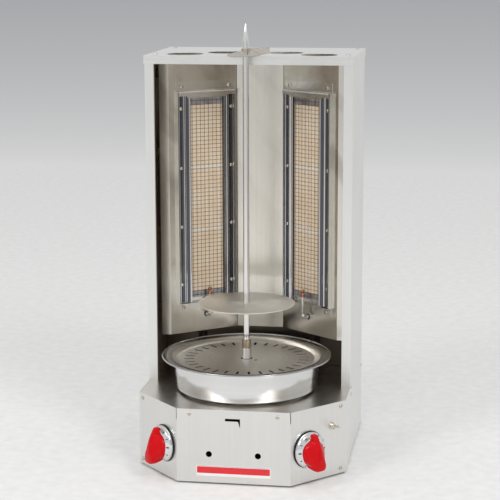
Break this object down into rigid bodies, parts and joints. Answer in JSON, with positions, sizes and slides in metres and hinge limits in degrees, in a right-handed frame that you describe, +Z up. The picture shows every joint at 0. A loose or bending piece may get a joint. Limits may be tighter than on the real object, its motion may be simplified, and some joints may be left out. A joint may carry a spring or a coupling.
{
  "type": "vertical rotisserie broiler",
  "caption": "Countertop vertical rotisserie broiler with angled infrared gas burners, a turning spit with a meat disc, a drip pan and a faceted control base.",
  "frame": {"origin": "on the surface that the feet stand on, at the middle of the object's plan", "axes": "+Z up along the spit, +X to the right as seen from the front, front faces -Y"},
  "size_m": [0.4352, 0.5016, 0.916],
  "materials": {
    "casing_sheet": "brushed stainless, vertical grain",
    "deck_sheet": "brushed stainless, soft sheen",
    "liner_sheet": "brushed stainless, slightly heat-tinted",
    "baffle_sheet": "brushed stainless, dull",
    "burner_plate": "brushed stainless",
    "polished_rail": "polished",
    "burner_box": "aluminised sheet, matt",
    "ceramic": "porous fired ceramic with fine holes",
    "gasket": "white ceramic fibre",
    "mesh_wire": "heat-darkened wire",
    "screws": "stainless screws",
    "pilot_pipe": "drawn tube",
    "copper": "heat-stained copper",
    "black_pipe": "black gas pipe",
    "brass": "machined",
    "bezel": "dark ring",
    "knob_chrome": "polished",
    "knob_red": "glossy moulded red",
    "switch": "nickel plated",
    "motor_paint": "dark enamel",
    "junction_box": "grey box with black gland",
    "badge": "red enamel on a white plate",
    "spit_steel": "turned stainless",
    "disc_steel": "rolled stainless disc",
    "pan_aluminium": "spun aluminium",
    "strainer_steel": "spun aluminium, satin",
    "rubber": "black rubber"
  },
  "bodies": {
    "root": {"left_side_panel": "casing_sheet", "right_side_panel": "casing_sheet", "control_panel": "casing_sheet", "top_cap": "casing_sheet", "back_panel": "casing_sheet", "bottom_plate": "casing_sheet", "deck_plate": "deck_sheet", "left_burner_panel": "liner_sheet", "right_burner_panel": "liner_sheet", "centre_back_panel": "liner_sheet", "panel_clips": "liner_sheet", "rear_baffle": "baffle_sheet", "left_mounting_plate": "burner_plate", "right_mounting_plate": "burner_plate", "left_end_brackets": "burner_plate", "right_end_brackets": "burner_plate", "left_rails": "polished_rail", "right_rails": "polished_rail", "left_burner_body": "burner_box", "right_burner_body": "burner_box", "mixer_tubes": "burner_box", "left_ceramic_plaques": "ceramic", "right_ceramic_plaques": "ceramic", "plaque_gaskets": "gasket", "left_wire_mesh": "mesh_wire", "right_wire_mesh": "mesh_wire", "burner_screws": "screws", "casing_screws": "screws", "left_pilot_tube": "pilot_pipe", "right_pilot_tube": "pilot_pipe", "pilot_tips": "copper", "manifold": "black_pipe", "gas_supply_pipe": "black_pipe", "gas_tubes": "black_pipe", "left_gas_valve": "brass", "right_gas_valve": "brass", "pilot_valves": "brass", "deck_bearing": "brass", "knob_bezels": "bezel", "toggle_switch": "switch", "gearmotor": "motor_paint", "cord_inlet": "junction_box", "nameplate": "badge", "feet": "rubber"},
    "drive": {"drive_shaft": "spit_steel"},
    "socket": {"spit_socket": "spit_steel"},
    "skewer": {"skewer_rod": "spit_steel", "skewer_collars": "spit_steel"},
    "disc": {"meat_disc": "disc_steel"},
    "holder": {"top_meat_holder": "spit_steel"},
    "pan": {"drip_pan": "pan_aluminium", "pan_tube": "pan_aluminium"},
    "strainer": {"strainer_plate": "strainer_steel"},
    "left_knob": {"left_knob_skirt": "knob_chrome", "left_knob_grip": "knob_red", "left_valve_stem": "brass"},
    "right_knob": {"right_knob_skirt": "knob_chrome", "right_knob_grip": "knob_red", "right_valve_stem": "brass"},
    "toggle": {"toggle_lever": "switch"}
  },
  "joints": [
    {"name": "spit_spin", "type": "hinge", "parent": "root", "child": "drive", "pos_m": [0, -0.072, 0.16], "axis": [0, 0, 1], "continuous": true},
    {"name": "socket_lift", "type": "slide", "parent": "drive", "child": "socket", "axis": [0, 0, 1], "range_m": [0, 0.03]},
    {"name": "skewer_lift", "type": "slide", "parent": "socket", "child": "skewer", "axis": [0, 0, 1], "range_m": [0, 0.06]},
    {"name": "disc_slide", "type": "slide", "parent": "skewer", "child": "disc", "axis": [0, 0, 1], "range_m": [0, 0.46]},
    {"name": "holder_lift", "type": "slide", "parent": "skewer", "child": "holder", "axis": [0, 0, 1], "range_m": [0, 0.075]},
    {"name": "pan_lift", "type": "slide", "parent": "root", "child": "pan", "axis": [0, 0, 1], "range_m": [0, 0.03]},
    {"name": "strainer_lift", "type": "slide", "parent": "pan", "child": "strainer", "axis": [0, 0, 1], "range_m": [0, 0.075]},
    {"name": "left_knob_turn", "type": "hinge", "parent": "root", "child": "left_knob", "pos_m": [-0.14772, -0.21206, 0.072], "axis": [-0.7306, -0.6828, 0], "range_deg": [0, 180]},
    {"name": "right_knob_turn", "type": "hinge", "parent": "root", "child": "right_knob", "pos_m": [0.14772, -0.21206, 0.072], "axis": [0.7306, -0.6828, 0], "range_deg": [0, 180]},
    {"name": "toggle_tilt", "type": "hinge", "parent": "root", "child": "toggle", "pos_m": [0.19517, -0.17154, 0.109], "axis": [0.6828, 0.7306, 0], "range_deg": [0, 28]}
  ]
}
